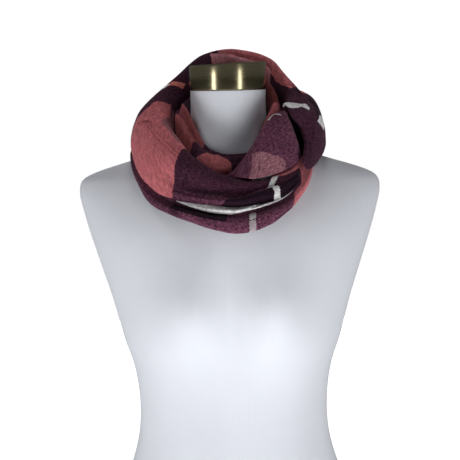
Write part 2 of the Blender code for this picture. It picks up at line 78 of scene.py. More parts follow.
rounding = dress_form.modifiers.new("rounding", "SUBSURF")
rounding.levels = 2
rounding.render_levels = 2
bpy.ops.object.modifier_apply(modifier="rounding")
bpy.ops.object.shade_smooth_by_angle(angle=sharp_angle)


def wrap_jersey(mesh, girth):
    """A map for the knit in metres: across is the way round the body, up is the height."""
    for old in list(mesh.uv_layers):
        mesh.uv_layers.remove(old)
    jersey_map = mesh.uv_layers.new(name="knit")
    for polygon in mesh.polygons:
        spots = [mesh.vertices[k].co for k in polygon.vertices]
        turns = [math.atan2(spot.x, -spot.y) / (2 * math.pi) for spot in spots]
        for spot, turn, loop in zip(spots, turns, polygon.loop_indices):
            turn += 1.0 if max(turns) - turn > 0.5 else 0.0
            jersey_map.data[loop].uv = (turn * girth, spot.z)


wrap_jersey(dress_form.data, body_girth)


def add_node(tree, kind, sources=(), **settings):
    """A shader node; sources are the values or sockets for its inputs, by name or order."""
    node = tree.nodes.new("ShaderNode" + kind)
    for name, value in settings.items():
        setattr(node, name, value)
    pairs = sources.items() if isinstance(sources, dict) else enumerate(sources)
    for place, source in pairs:
        if isinstance(source, bpy.types.NodeSocket):
            tree.links.new(source, node.inputs[place])
        elif isinstance(source, tuple) and len(source) == 3 and kind == "Mix":
            node.inputs[place].default_value = (*source, 1.0)
        else:
            node.inputs[place].default_value = source
    return node


def start_material(name):
    """A new material, its node tree and its Principled shader."""
    material = bpy.data.materials.new(name)
    material.use_nodes = True
    tree = material.node_tree
    return material, tree, tree.nodes["Principled BSDF"]


def mix_colours(tree, share, first, second):
    """Two colours mixed by a share; its result socket is returned."""
    node = add_node(tree, "Mix", {0: share, 6: first, 7: second}, data_type="RGBA")
    return node.outputs[2]


def combine(tree, operation, *values, kind="Math"):
    """Values or sockets combined by one operation; its result socket is returned."""
    return add_node(tree, kind, values, operation=operation).outputs[0]


def noise(tree, where, scale, detail, roughness=0.5, stretch=None):
    """Noise on a map that may be stretched first; its value socket is returned."""
    if stretch:
        where = add_node(tree, "Mapping", {"Vector": where, "Scale": stretch}).outputs[0]
    return add_node(tree, "TexNoise", {"Vector": where, "Scale": scale, "Detail": detail,
                                       "Roughness": roughness}).outputs["Fac"]


jersey, tree, shader = start_material("white stretch jersey")
knit = add_node(tree, "UVMap", uv_map="knit").outputs[0]
ribs = add_node(tree, "TexWave", {"Vector": knit, "Scale": 2 * math.pi / 20 / rib_spacing,
                                  "Distortion": 0.8, "Detail": 1.0, "Detail Scale": 0.4},
                wave_type="BANDS", bands_direction="X").outputs["Fac"]
threads = noise(tree, knit, scale=1.0, detail=2.0, stretch=(2600.0, 900.0, 1.0))
soiling = noise(tree, knit, scale=9.0, detail=3.0)
tone = combine(tree, "MULTIPLY", ribs, 0.18)
tone = combine(tree, "MULTIPLY_ADD", threads, 0.3, tone)
tone = combine(tree, "MULTIPLY_ADD", soiling, 0.5, tone)
tree.links.new(mix_colours(tree, tone, jersey_shadow, jersey_white), shader.inputs["Base Color"])
shader.inputs["Roughness"].default_value = 0.72
shader.inputs["Specular IOR Level"].default_value = 0.25
shader.inputs["Sheen Weight"].default_value = 0.18
shader.inputs["Sheen Roughness"].default_value = 0.4
relief = combine(tree, "MULTIPLY_ADD", threads, 0.35, ribs)
bump = add_node(tree, "Bump", {"Strength": 0.35, "Distance": 0.25 * mm, "Height": relief})
tree.links.new(bump.outputs[0], shader.inputs["Normal"])
dress_form.data.materials.clear()
dress_form.data.materials.append(jersey)
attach(dress_form, "root")
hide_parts("form_torso")

# Neck cap
# The metal band that closes the top of the neck: spun sheet metal with a flat lid,
# polished and lacquered to an olive gold, its top edge a little higher on one side.
cap_radius = 51.0 * mm
cap_low = 618.4 * mm
cap_high = 653.0 * mm
cap_edge = 1.6 * mm
cap_foot = 3.0 * mm
cap_tilt = math.radians(2.6)
lid_rim = 3.0 * mm
lid_step = 1.0 * mm
lid_sink = 0.7 * mm
lid_ring = 16.0 * mm
cap_gold = (0.60, 0.53, 0.33)
cap_olive = (0.50, 0.43, 0.25)

select_nothing()
bpy.ops.mesh.primitive_cylinder_add(vertices=128, radius=cap_radius, depth=cap_high - cap_low,
                                    location=(0.0, 0.0, (cap_low + cap_high) / 2))
cap = bpy.context.active_object
cap.name = "cap_of_the_neck"
bpy.ops.object.transform_apply(location=True, rotation=True, scale=True)
bpy.ops.object.mode_set(mode="EDIT")
bpy.ops.mesh.select_mode(type="FACE")
bpy.ops.mesh.select_all(action="DESELECT")
bpy.ops.object.mode_set(mode="OBJECT")
for polygon in cap.data.polygons:
    polygon.select = polygon.normal.z > 0.9
bpy.ops.object.mode_set(mode="EDIT")
bpy.ops.mesh.inset(thickness=lid_rim)
bpy.ops.mesh.inset(thickness=lid_step, depth=-lid_sink)
for ring in range(2):
    bpy.ops.mesh.inset(thickness=lid_ring)
bpy.ops.object.mode_set(mode="OBJECT")
edge_bevel = cap.modifiers.new("edges", "BEVEL")
edge_bevel.width = cap_edge
edge_bevel.segments = 4
edge_bevel.limit_method = "ANGLE"
edge_bevel.angle_limit = math.radians(60)
bpy.ops.object.modifier_apply(modifier="edges")
for vertex in cap.data.vertices:
    share = (vertex.co.z - cap_low - cap_foot) / (cap_high - cap_low - cap_foot)
    vertex.co.z += math.tan(cap_tilt) * vertex.co.x * min(max(share, 0.0), 1.0)
bpy.ops.object.shade_smooth_by_angle(angle=math.radians(35))

polished, tree, shader = start_material("polished cap metal")
place = add_node(tree, "TexCoord").outputs["Object"]
polish = noise(tree, place, scale=1.0, detail=4.0, stretch=(40.0, 40.0, 900.0))
tarnish = noise(tree, place, scale=38.0, detail=5.0)
tree.links.new(mix_colours(tree, tarnish, cap_olive, cap_gold), shader.inputs["Base Color"])


def carry_over(tree, source, old, new):
    """A value carried from an old range to a new one; its result socket is returned."""
    return add_node(tree, "MapRange", {"Value": source, "From Min": old[0], "From Max": old[1],
                                       "To Min": new[0], "To Max": new[1]}).outputs[0]


rough = carry_over(tree, polish, (0.3, 0.7), (0.14, 0.24))
tree.links.new(rough, shader.inputs["Roughness"])
shader.inputs["Metallic"].default_value = 1.0
shader.inputs["Coat Weight"].default_value = 0.25
shader.inputs["Coat Roughness"].default_value = 0.08
bump = add_node(tree, "Bump", {"Strength": 0.06, "Distance": 0.1 * mm, "Height": polish})
tree.links.new(bump.outputs[0], shader.inputs["Normal"])
cap.data.materials.append(polished)
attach(cap, "root")
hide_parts("neck_cap")

# Inner winding of the scarf
# The scarf is one long strip of soft brushed wool in a bold block check, its ends sewn
# into a loop that is wound twice. This winding was put on first and lies against the
# neck, from behind the middle stretch round the back and up to the front.
cloth_wall = 1.6
form_clearance = 0.7
hem_fullness = 0.9
smoothing_passes = 8

# Each row is a section across the strip, at an angle counted from the front towards the
# wearer's left. A fold's place is its distance from the neck's middle line and its height,
# in millimetres as all sizes of the cloth; a third number is an angle of its own.
inner_folds = ("low", "ridge_one", "valley", "ridge_two", "outside", "tail")
inner_sections = [
    {"angle": 34.0, "low": (55, 537), "ridge_one": (57.5, 546), "valley": (61.5, 549),
     "ridge_two": (65.5, 546), "outside": (68, 534), "tail": (69, 523)},
    {"angle": 50.0, "low": (54.5, 556), "ridge_one": (57.5, 568.5), "valley": (61.5, 571),
     "ridge_two": (65.5, 568), "outside": (68, 553), "tail": (69, 540)},
    {"angle": 66.0, "low": (54, 572), "ridge_one": (57.5, 585), "valley": (61.5, 588),
     "ridge_two": (65.5, 585), "outside": (68, 568), "tail": (69, 556)},
    {"angle": 88.0, "low": (54, 583), "ridge_one": (57.5, 599), "valley": (61.5, 602),
     "ridge_two": (65.5, 599), "outside": (68, 581), "tail": (68.5, 564)},
    {"angle": 115.0, "low": (54, 600), "ridge_one": (57.5, 620), "valley": (61.5, 623),
     "ridge_two": (65.5, 620), "outside": (67.5, 600), "tail": (68, 578)},
    {"angle": 145.0, "low": (54.5, 616), "ridge_one": (57.5, 639), "valley": (61.5, 642),
     "ridge_two": (65.5, 639), "outside": (67, 614), "tail": (67.5, 588)},
    {"angle": 180.0, "low": (54.5, 622), "ridge_one": (57.5, 648), "valley": (61.5, 651),
     "ridge_two": (65.5, 648), "outside": (67, 622), "tail": (67.5, 592)},
    {"angle": 215.0, "low": (54, 604), "ridge_one": (57.5, 624), "valley": (61.5, 627),
     "ridge_two": (65.5, 622), "outside": (67.5, 602), "tail": (68, 580)},
    {"angle": 245.0, "low": (54, 588), "ridge_one": (59, 605), "valley": (63, 600),
     "ridge_two": (67, 598), "outside": (69, 582), "tail": (69, 565)},
    {"angle": 272.0, "low": (54, 580), "ridge_one": (60, 600), "valley": (64.5, 588),
     "ridge_two": (68.5, 589), "outside": (69.5, 571), "tail": (69, 555)},
    {"angle": 295.0, "low": (54, 570), "ridge_one": (60.5, 594), "valley": (65.5, 579),
     "ridge_two": (71, 582), "outside": (74, 560), "tail": (74, 547)},
    {"angle": 315.0, "low": (54, 549), "ridge_one": (60, 567), "valley": (65, 556),
     "ridge_two": (71, 560), "outside": (78, 545), "tail": (80, 532)},
    {"angle": 332.0, "low": (55.5, 536), "ridge_one": (60, 545.5), "valley": (65, 541),
     "ridge_two": (71, 541), "outside": (79, 530), "tail": (81.5, 516)},
    {"angle": 350.0, "low": (57.5, 532), "ridge_one": (61, 537), "valley": (65.5, 533.5),
     "ridge_two": (70, 531), "outside": (75.5, 519), "tail": (76.5, 508)},
    {"angle": 366.0, "low": (57.5, 530), "ridge_one": (61, 535.5), "valley": (65, 532),
     "ridge_two": (69, 528.5), "outside": (74, 517), "tail": (75.5, 507)},
    {"angle": 379.0, "low": (57.5, 531), "ridge_one": (60.5, 536), "valley": (64, 534),
     "ridge_two": (67.5, 530.5), "outside": (71.5, 520), "tail": (73, 510)},
    {"angle": 389.0, "low": (57, 533), "ridge_one": (60, 538), "valley": (63.5, 536),
     "ridge_two": (66.5, 533), "outside": (69.5, 523), "tail": (71, 514)},
]
inner_across = {"low": 3, "ridge_one": 3, "valley": 3, "ridge_two": 3, "outside": 2}

# Where the check changes colour, and where a lighter or darker copy of a yarn is painted
# as light or shade: from and to are angles, low and high are places across the folds,
# counted from the first fold of the table. A pair gives both ends of a slanting edge.
inner_blocks = [
    # The inner winding's wall at the right and back of the cap is painted dark rose, as shade
    {"from": 30, "to": 150, "low": 0.0, "high": 5.0, "yarn": "shade and stitch rose"},
    {"from": 40, "to": (80, 88), "low": 0.7, "high": 3.2, "yarn": "rose"},
    # The inner winding's rose in the hollow at the left is painted darker, as shade
    {"from": 272, "to": 328, "low": 0.0, "high": 2.1, "yarn": "half shaded rose"},
    {"from": 280, "to": 321, "low": 2.1, "high": 5.0, "yarn": "half shaded rose"},
    {"from": 328, "to": 347, "low": (4.0, 1.7), "high": 5.1, "yarn": "rose"},
    {"from": 347, "to": 362, "low": (1.7, 3.4), "high": 5.1, "yarn": "rose"},
]

# Creases given one by one, in millimetres: from and to are places on the cloth as above,
# a depth below zero is a trough, and bow is how far the line bends
inner_creases = [
    {"from": (285, 2.1), "to": (318, 2.0), "depth": -1.3, "width": 3.0, "bow": 1.0},
    {"from": (300, 4.1), "to": (340, 4.2), "depth": -1.0, "width": 4.0, "bow": -2.0},
    {"from": (208, 1.8), "to": (262, 3.0), "depth": -1.0, "width": 4.5, "bow": 3.0},
    {"from": (95, 3.2), "to": (152, 4.2), "depth": -1.1, "width": 4.5, "bow": 2.5},
    {"from": (340, 4.5), "to": (372, 3.7), "depth": 0.9, "width": 4.0, "bow": 1.5},
]

# Yarns by name: the colour of the ground, and of the flecks brushed up over it. Some are
# lighter or darker copies painted as light or shade, as marked.
yarns = {
    # Rose painted lighter: painted light on the outer winding's front right
    "lightened rose": ((0.56, 0.145, 0.170), (0.86, 0.300, 0.325)),
    "rose": ((0.465, 0.117, 0.137), (0.760, 0.238, 0.250)),
    # A darker rose: painted shade on the inner winding in the hollow at the left
    "half shaded rose": ((0.29, 0.072, 0.080), (0.47, 0.145, 0.148)),
    # A dark rose: painted shade on the inner winding's wall at the right and back of the cap, and
    # the colour of the thin double stitch line on the rose at the left
    "shade and stitch rose": ((0.15, 0.030, 0.032), (0.26, 0.070, 0.068)),
    # A mauve rose painted lighter than the cloth's rose: painted light on the inner face at the
    # back of the collar
    "lightened dusky rose": ((0.52, 0.190, 0.220), (0.80, 0.365, 0.400)),
    # A greyed dark rose: painted shade on the collar's inside wall and rolled top at the left
    "shaded mauve rose": ((0.235, 0.083, 0.096), (0.400, 0.165, 0.180)),
    "plum": ((0.022, 0.0070, 0.0165), (0.128, 0.043, 0.077)),
    # Plum darkened nearly to black: painted shade on the recessed fold under the top fold, in the
    # crease under the pale band, and on the bulky fold's ridge turned from the light and its lower
    # folds at the back
    "shaded plum": ((0.010, 0.0040, 0.0095), (0.024, 0.0085, 0.020)),
    "heather": ((0.036, 0.0110, 0.026), (0.300, 0.105, 0.172)),
    "blush": ((0.15, 0.050, 0.072), (0.60, 0.285, 0.330)),
    "coral": ((0.68, 0.180, 0.155), (0.88, 0.320, 0.270)),
    "pale": ((0.79, 0.77, 0.775), (0.99, 0.98, 0.985)),
}

form_tree = BVHTree.FromPolygons([vertex.co.copy() for vertex in dress_form.data.vertices],
                                 [polygon.vertices[:] for polygon in dress_form.data.polygons])


def curve_through(places, values, at):
    """Smooth curve through a table's rows, each column of values by itself."""
    places = np.array(places, float)
    values = np.array(values, float).reshape(len(places), -1)
    step = np.diff(places)[:, None]
    rise = np.diff(values, axis=0) / step
    inside = (rise[:-1] * step[1:] + rise[1:] * step[:-1]) / (step[:-1] + step[1:])
    slope = np.vstack([rise[:1], inside, rise[-1:]])
    k = np.clip(np.searchsorted(places, at, side="right") - 1, 0, len(places) - 2)
    t = (np.array(at, float) - places[k])[:, None] / step[k]
    return (values[k] * (2 * t ** 3 - 3 * t ** 2 + 1)
            + slope[k] * step[k] * (t ** 3 - 2 * t ** 2 + t)
            + values[k + 1] * (3 * t ** 2 - 2 * t ** 3)
            + slope[k + 1] * step[k] * (t ** 3 - t ** 2))


def lay_cloth(sections, folds, across, first, last, columns):
    """Middle surface of one stretch, with the angle and the fold place of each point."""
    rows = np.arange(len(sections))
    at = np.linspace(first, last, columns + 1)
    lines = []
    for fold in folds:
        spots = [(*row[fold], row["angle"])[:3] for row in sections]
        radius, height, angle = curve_through(rows, spots, at).T
        turn = np.radians(angle)
        lines.append(np.stack([radius * np.sin(turn), -radius * np.cos(turn), height], axis=1))
    lines = np.stack(lines, axis=1)
    shares = [k + step / count for k, count in enumerate(across) for step in range(count)]
    shares = np.array(shares + [len(folds) - 1.0])
    whole = np.minimum(shares.astype(int), len(folds) - 2)
    least_gap = 0.5
    evenness = 0.6
    points = []
    for line in lines:
        gaps = np.linalg.norm(np.diff(line, axis=0), axis=1)
        gaps = np.maximum(gaps, least_gap) ** evenness
        knots = np.concatenate([[0.0], np.cumsum(gaps)])
        points.append(curve_through(knots, line, knots[whole] + gaps[whole] * (shares - whole)))
    angles = curve_through(rows, [row["angle"] for row in sections], at)[:, 0]
    return np.array(points), angles, shares


def unit(vectors):
    """The vectors at a length of one."""
    return vectors / np.maximum(np.linalg.norm(vectors, axis=-1, keepdims=True), 1e-9)


def cloth_normals(points):
    """Normal of the cloth at every point of its grid, away from the neck, smoothed."""
    normals = unit(np.cross(np.gradient(points, axis=1), np.gradient(points, axis=0)))
    for turn in range(smoothing_passes):
        normals[1:-1] += (normals[:-2] + normals[2:]) / 2
        normals[:, 1:-1] += (normals[:, :-2] + normals[:, 2:]) / 2
        normals = unit(normals)
    return normals


def cloth_lengths(points):
    """Millimetres along the strip and across it, for every point of the grid."""
    along = np.linalg.norm(np.diff(points, axis=0, prepend=points[:1]), axis=2).cumsum(axis=0)
    across = np.linalg.norm(np.diff(points, axis=1, prepend=points[:, :1]), axis=2)
    middle = len(points) // 2
    return along - along[middle], across.cumsum(axis=1)


# The cloth's own slight unevenness: swaying ripples, and slanting wrinkles that come and go
ripple = {"height": 0.28, "along": 13.0, "across": 8.5, "sway": 24.0, "shift": 0.7}
wrinkle = {"height": 0.22, "along": 7.3, "across": 11.0, "fade": 31.0, "shift": 1.1}


def fold_relief(points, angles, shares, creases):
    """Height of the listed creases and of the cloth's own slight unevenness."""
    along, across = cloth_lengths(points)
    sway = 2.0 * np.sin(across / ripple["sway"])
    relief = (ripple["height"] * np.sin(along / ripple["along"] + sway)
              * np.sin(across / ripple["across"] + ripple["shift"]))
    relief += (wrinkle["height"] * np.sin(along / wrinkle["along"] - across / wrinkle["across"])
               * np.sin(along / wrinkle["fade"] + wrinkle["shift"]))
    for crease in creases:
        ends = []
        for angle, share in (crease["from"], crease["to"]):
            i = int(np.abs(angles - angle).argmin())
            j = int(np.abs(shares - share).argmin())
            ends.append((along[i, j], across[i, j]))
        start, end = np.array(ends)
        way = end - start
        length = max(np.linalg.norm(way), 1e-6)
        place = ((along - start[0]) * way[0] + (across - start[1]) * way[1]) / length ** 2
        held = np.clip(place, 0.0, 1.0)
        off = ((along - start[0]) * way[1] - (across - start[1]) * way[0]) / length
        off -= crease.get("bow", 0.0) * 4 * held * (1 - held)
        beyond = np.maximum(np.abs(place - 0.5) - 0.5, 0.0) * length
        fade = np.sqrt(np.sin(math.pi * np.clip(held, 0.03, 0.97)))
        relief += (crease["depth"] * fade * np.exp(-(off / crease["width"]) ** 2)
                   * np.exp(-(beyond / crease["width"]) ** 2))
    return relief


def rest_on_form(points, room):
    """Moves what would touch the dress form out to rest on it."""
    reach = 12 * mm
    flat = points.reshape(-1, 3)
    for k, point in enumerate(flat):
        spot, normal = form_tree.find_nearest(Vector(point * mm), reach)[:2]
        if spot is not None:
            off = (Vector(point * mm) - spot).dot(normal) / mm
            if off < room:
                flat[k] = point + np.array(normal) * (room - off)
    return flat.reshape(points.shape)


# One whole step of the check's own map: degrees along the strip, and folds across it
check_angle = 360
check_folds = 20


def sew_cloth(name, points, angles, shares, open_ends=(True, True)):
    """Closed shell of the cloth's thickness round a grid, with soft hems, as one object."""
    normals = cloth_normals(points)
    rows, cols = points.shape[:2]
    half = cloth_wall / 2
    border = [(i, 0) for i in range(rows)]
    border += [(rows - 1, j) for j in range(1, cols)]
    border += [(i, cols - 1) for i in range(rows - 2, -1, -1)]
    border += [(0, j) for j in range(cols - 2, 0, -1)]
    rim = []
    for i, j in border:
        away = np.zeros(3)
        for at_edge, inner in (((j == 0), (i, 1)), ((j == cols - 1), (i, cols - 2)),
                               ((i == 0 and open_ends[0]), (1, j)),
                               ((i == rows - 1 and open_ends[1]), (rows - 2, j))):
            if at_edge:
                away += unit(points[i, j] - points[inner])
        rim.append(points[i, j] + away * half * hem_fullness)
    total = rows * cols
    places = np.vstack([(points + normals * half).reshape(-1, 3),
                        (points - normals * half).reshape(-1, 3), np.array(rim)]) * mm
    corner = (np.arange(rows - 1)[:, None] * cols + np.arange(cols - 1)).ravel()
    outer = np.stack([corner, corner + cols, corner + cols + 1, corner + 1], axis=1)
    faces = [outer, outer[:, ::-1] + total]
    edge = np.array([i * cols + j for i, j in border])
    after = np.roll(edge, -1)
    rim_edge = 2 * total + np.arange(len(border))
    rim_after = np.roll(rim_edge, -1)
    faces.append(np.stack([edge, rim_edge, rim_after, after], axis=1))
    faces.append(np.stack([rim_edge, edge + total, after + total, rim_after], axis=1))
    mesh = bpy.data.meshes.new(name)
    mesh.from_pydata(places.tolist(), [], np.vstack(faces).tolist())
    along, across = cloth_lengths(points)
    check = np.stack(np.broadcast_arrays(angles[:, None] / check_angle,
                                         shares[None, :] / check_folds), axis=2)
    cloth = np.stack([along, across], axis=2) * mm
    corners = np.array([loop.vertex_index for loop in mesh.loops])
    for map_name, grid in (("check", check), ("cloth", cloth)):
        flat = grid.reshape(-1, 2)
        values = np.vstack([flat, flat, flat[edge]])
        layer = mesh.uv_layers.new(name=map_name)
        layer.data.foreach_set("uv", values[corners].astype(np.float32).ravel())
    mesh.update()
    piece = bpy.data.objects.new(name, mesh)
    bpy.context.scene.collection.objects.link(piece)
    for polygon in mesh.polygons:
        polygon.use_smooth = True
    return piece


def block_edges(block):
    """The four straight edges of a block of the check, each as the line's three factors."""
    ends = {side: block[side] if isinstance(block[side], tuple) else (block[side], block[side])
            for side in ("from", "to", "low", "high")}
    low_from, low_to = ends["low"]
    high_from, high_to = ends["high"]
    corners = [(ends["from"][0], low_from), (ends["to"][0], low_to),
               (ends["to"][1], high_to), (ends["from"][1], high_from)]
    corners = [(angle / check_angle, share / check_folds) for angle, share in corners]
    edges = []
    for (u, v), (u_next, v_next) in zip(corners, corners[1:] + corners[:1]):
        across = (v - v_next, u_next - u)
        edges.append((*across, -(across[0] * u + across[1] * v)))
    return edges


# How ragged the blocks' edges are: loose fibres of the brushed yarn, and a slow wander of
# the weave. The reach is along the strip and across it, in steps of the check's map.
ragged_edges = [
    {"scale": 520.0, "detail": 2.0, "reach": (0.006, 0.010, 0.0)},
    {"scale": 45.0, "detail": 1.0, "reach": (0.0016, 0.0045, 0.0)},
]
twill_slant = math.radians(35)


def wool(name, ground, blocks):
    """Brushed wool in a block check; blocks say where each yarn shows over the ground."""
    material, tree, shader = start_material(name)
    check = add_node(tree, "UVMap", uv_map="check").outputs[0]
    cloth = add_node(tree, "UVMap", uv_map="cloth").outputs[0]
    place = combine(tree, "ADD", check, (0.0, 0.0, 1.0), kind="VectorMath")
    for row in ragged_edges:
        drift = add_node(tree, "TexNoise", {"Vector": cloth, "Scale": row["scale"],
                                            "Detail": row["detail"]}).outputs["Color"]
        drift = combine(tree, "SUBTRACT", drift, (0.5, 0.5, 0.5), kind="VectorMath")
        drift = combine(tree, "MULTIPLY", drift, row["reach"], kind="VectorMath")
        place = combine(tree, "ADD", place, drift, kind="VectorMath")
    colour, fleck = yarns[ground]
    for block in blocks:
        share = block.get("cover", 1.0)
        for edge in block_edges(block):
            side = add_node(tree, "VectorMath", [place, edge], operation="DOT_PRODUCT")
            inside = combine(tree, "GREATER_THAN", side.outputs["Value"], 0.0)
            share = combine(tree, "MULTIPLY", inside, share)
        colour = mix_colours(tree, share, colour, yarns[block["yarn"]][0])
        fleck = mix_colours(tree, share, fleck, yarns[block["yarn"]][1])
    fibres = noise(tree, cloth, scale=1.0, detail=5.0, roughness=0.75,
                   stretch=(230.0, 760.0, 1.0))
    clumps = noise(tree, cloth, scale=160.0, detail=2.0)
    clouds = noise(tree, cloth, scale=28.0, detail=2.0)
    lifted = carry_over(tree, fibres, (0.43, 0.63), (0.0, 1.0))
    coat = mix_colours(tree, lifted, colour, fleck)
    shade = combine(tree, "MULTIPLY", carry_over(tree, clumps, (0.3, 0.7), (0.78, 1.20)),
                    carry_over(tree, clouds, (0.3, 0.7), (0.90, 1.08)))
    coat = add_node(tree, "VectorMath", {0: coat, "Scale": shade}, operation="SCALE").outputs[0]
    tree.links.new(coat, shader.inputs["Base Color"])
    shader.inputs["Roughness"].default_value = 0.93
    shader.inputs["Specular IOR Level"].default_value = 0.12
    shader.inputs["Sheen Weight"].default_value = 0.10
    shader.inputs["Sheen Roughness"].default_value = 0.5
    shader.inputs["Sheen Tint"].default_value = (0.9, 0.6, 0.7, 1.0)
    slanted = add_node(tree, "Mapping", {"Vector": cloth,
                                         "Rotation": (0.0, 0.0, twill_slant)}).outputs[0]
    twill = add_node(tree, "TexWave", {"Vector": slanted, "Scale": 150.0, "Distortion": 2.5,
                                       "Detail": 2.0, "Detail Scale": 1.5},
                     wave_type="BANDS", bands_direction="X").outputs["Fac"]
    relief = combine(tree, "ADD", fibres, clumps)
    relief = combine(tree, "MULTIPLY_ADD", twill, 0.35, relief)
    bump = add_node(tree, "Bump", {"Strength": 0.8, "Distance": 0.9 * mm, "Height": relief})
    tree.links.new(bump.outputs[0], shader.inputs["Normal"])
    return material


def make_stretch(name, sections, folds, across, creases, material, *, finer, columns,
                 first=0.0, last=None, open_ends=(True, True)):
    """One stretch of the scarf on its own folds, creased, clear of the form and sewn."""
    last = len(sections) - 1.0 if last is None else last
    counts = [across[fold] * finer for fold in folds[:-1]]
    points, angles, shares = lay_cloth(sections, folds, counts, first, last, columns)
    relief = fold_relief(points, angles, shares, creases)
    points = points + cloth_normals(points) * relief[..., None]
    points = rest_on_form(points, cloth_wall / 2 + form_clearance)
    piece = sew_cloth(name, points, angles, shares, open_ends)
    piece.data.materials.append(material)
    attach(piece, "root")
    return piece


inner_cloth = make_stretch("inner_winding", inner_sections, inner_folds, inner_across,
                           inner_creases, wool("wool of the inner winding", "plum", inner_blocks),
                           finer=3, columns=190)
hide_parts("scarf_inner_turn")

# Outer winding of the scarf
# The second turn of the same strip: a collar from its seam at the centre of the back
# round the wearer's right side, rolled over at the top, with the wide front in three
# lower folds. It then runs on under the bulky fold at the other side.
hem_turn = 11.0
hem_rise = 0.30
inner_depth = 34.0
wall_lean = 2.0
wall_share = 0.45

